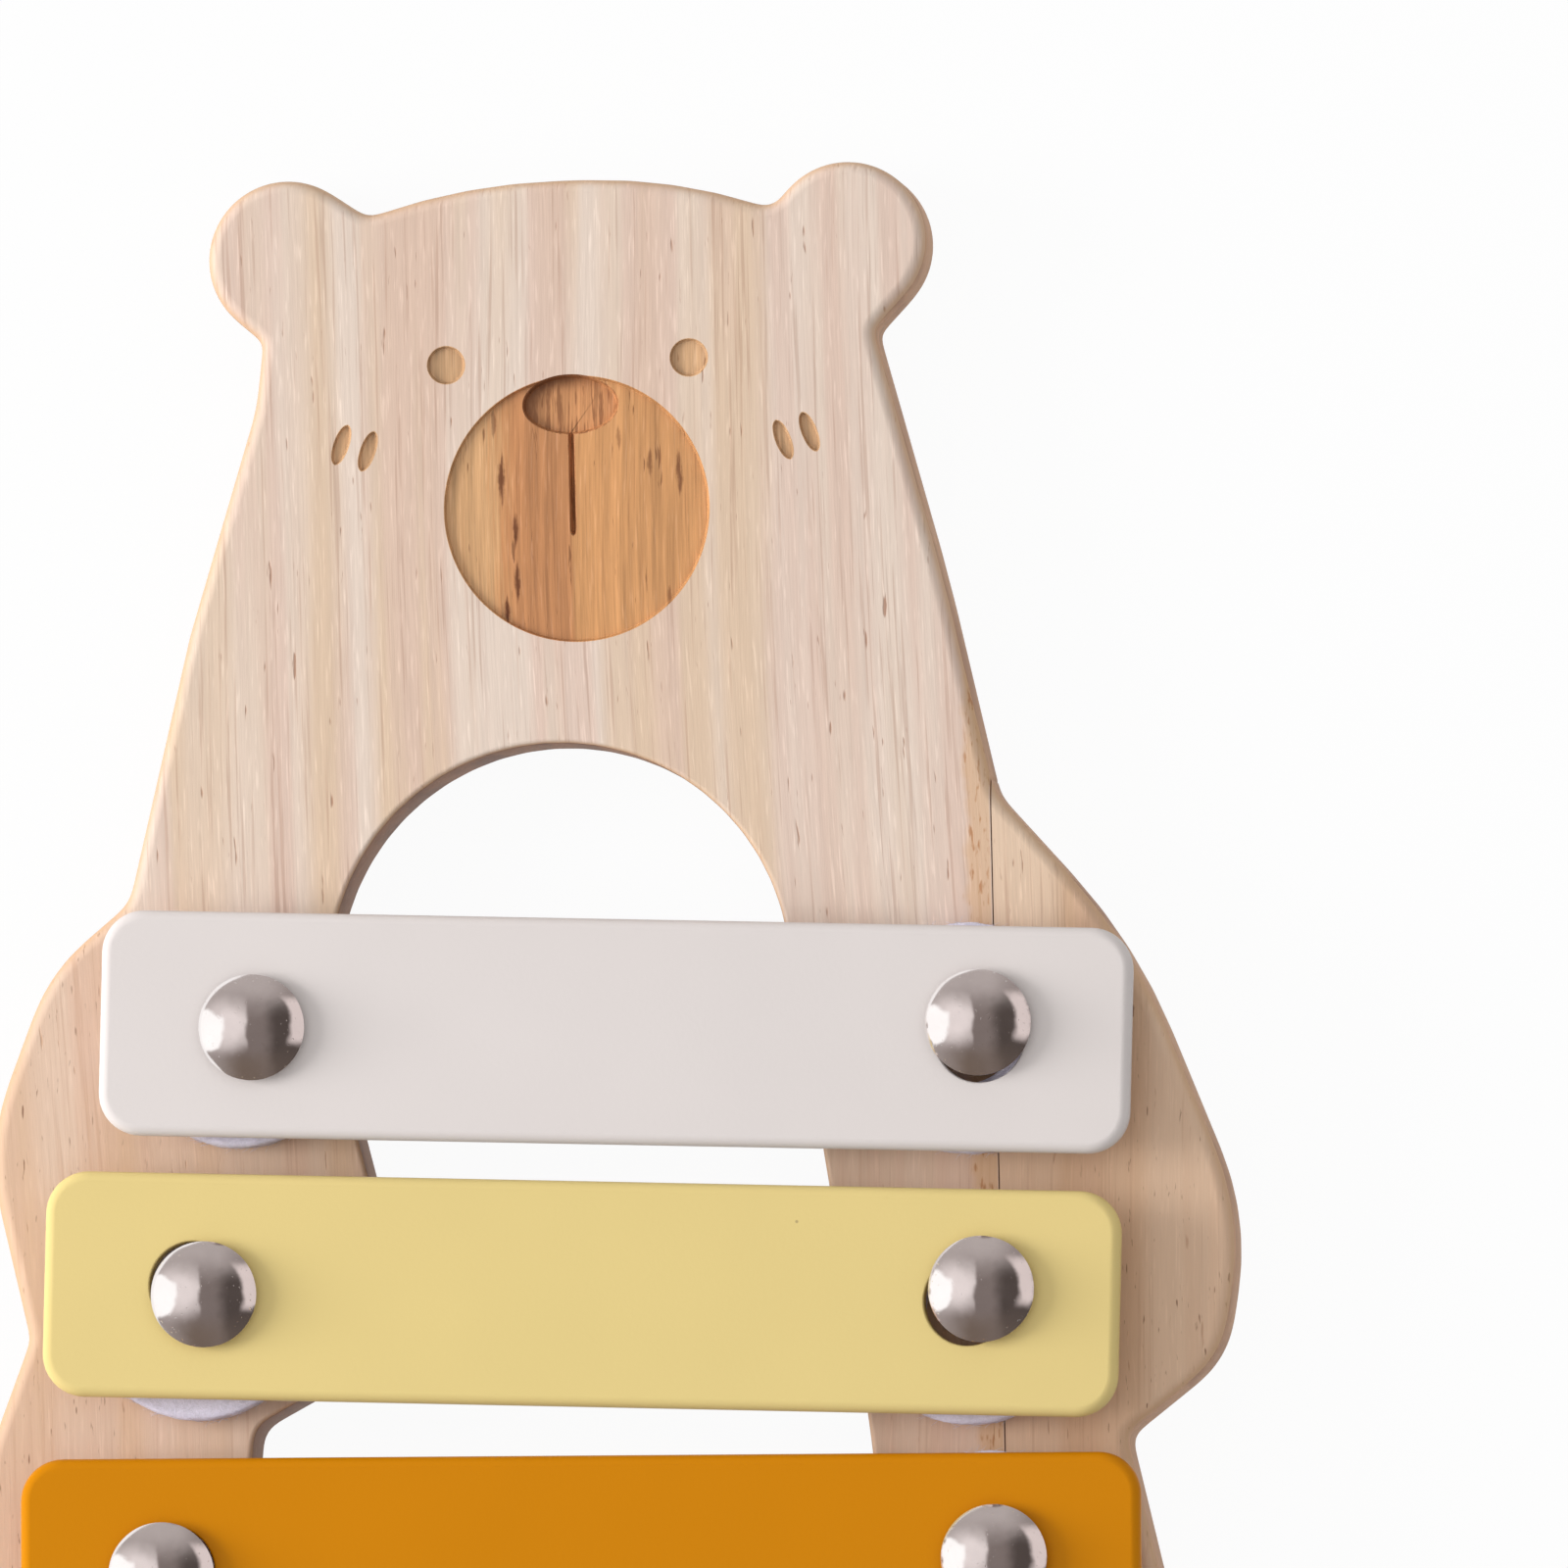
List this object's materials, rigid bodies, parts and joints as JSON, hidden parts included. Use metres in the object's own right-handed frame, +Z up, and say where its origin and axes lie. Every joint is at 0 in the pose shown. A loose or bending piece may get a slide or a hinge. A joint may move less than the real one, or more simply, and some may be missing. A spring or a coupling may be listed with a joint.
{
  "type": "toy xylophone",
  "caption": "Wooden toy xylophone: a flat bear-shaped board with a round grip arch carries loose painted metal bars on felt rings, held by domed studs.",
  "frame": {"origin": "under the middle of the whole toy, on the surface that the board lies on", "axes": "+Z up from the board's back to its face, +Y from the feet towards the bear's head, +X towards the right-hand ends of the bars as seen from the front"},
  "size_m": [0.1564, 0.25, 0.0223],
  "materials": {
    "bear_panel": "pale sanded wood, clear satin oil, browner stained muzzle, nose and eyes",
    "bear_right_stave": "pale sanded wood, clear satin oil",
    "bar_1": "satin powder coat, warm off-white",
    "bar_2": "satin powder coat, soft yellow",
    "bar_3": "satin powder coat, ochre orange",
    "bar_4": "satin powder coat, terracotta",
    "bar_5": "satin powder coat, chestnut brown",
    "felt": "pressed wool felt, pale lavender",
    "stud": "polished"
  },
  "bodies": {
    "board": {"bear_panel": "bear_panel", "bear_right_stave": "bear_right_stave", "felt_1_left": "felt", "felt_1_right": "felt", "felt_2_left": "felt", "felt_2_right": "felt", "felt_3_left": "felt", "felt_3_right": "felt", "felt_4_left": "felt", "felt_4_right": "felt", "felt_5_left": "felt", "felt_5_right": "felt", "stud_1_left": "stud", "stud_1_right": "stud", "stud_2_left": "stud", "stud_2_right": "stud", "stud_3_left": "stud", "stud_3_right": "stud", "stud_4_left": "stud", "stud_4_right": "stud", "stud_5_left": "stud", "stud_5_right": "stud"},
    "bar_1": {"bar_1": "bar_1"},
    "bar_2": {"bar_2": "bar_2"},
    "bar_3": {"bar_3": "bar_3"},
    "bar_4": {"bar_4": "bar_4"},
    "bar_5": {"bar_5": "bar_5"}
  },
  "joints": [
    {"name": "bar_1_swing", "type": "hinge", "parent": "board", "child": "bar_1", "pos_m": [-0.03442, 0.02829, 0.0171], "axis": [0, 0, 1], "range_deg": [-0.7, 3]},
    {"name": "bar_2_swing", "type": "hinge", "parent": "board", "child": "bar_2", "pos_m": [-0.04049, -0.00175, 0.0171], "axis": [0, 0, 1], "range_deg": [-0.6, 1.3]},
    {"name": "bar_3_swing", "type": "hinge", "parent": "board", "child": "bar_3", "pos_m": [-0.04596, -0.03337, 0.0171], "axis": [0, 0, 1], "range_deg": [-1, 1.2]},
    {"name": "bar_4_swing", "type": "hinge", "parent": "board", "child": "bar_4", "pos_m": [-0.04815, -0.06348, 0.0171], "axis": [0, 0, 1], "range_deg": [-1, 1.2]},
    {"name": "bar_5_swing", "type": "hinge", "parent": "board", "child": "bar_5", "pos_m": [-0.04966, -0.09395, 0.0171], "axis": [0, 0, 1], "range_deg": [-1, 1.4]}
  ]
}
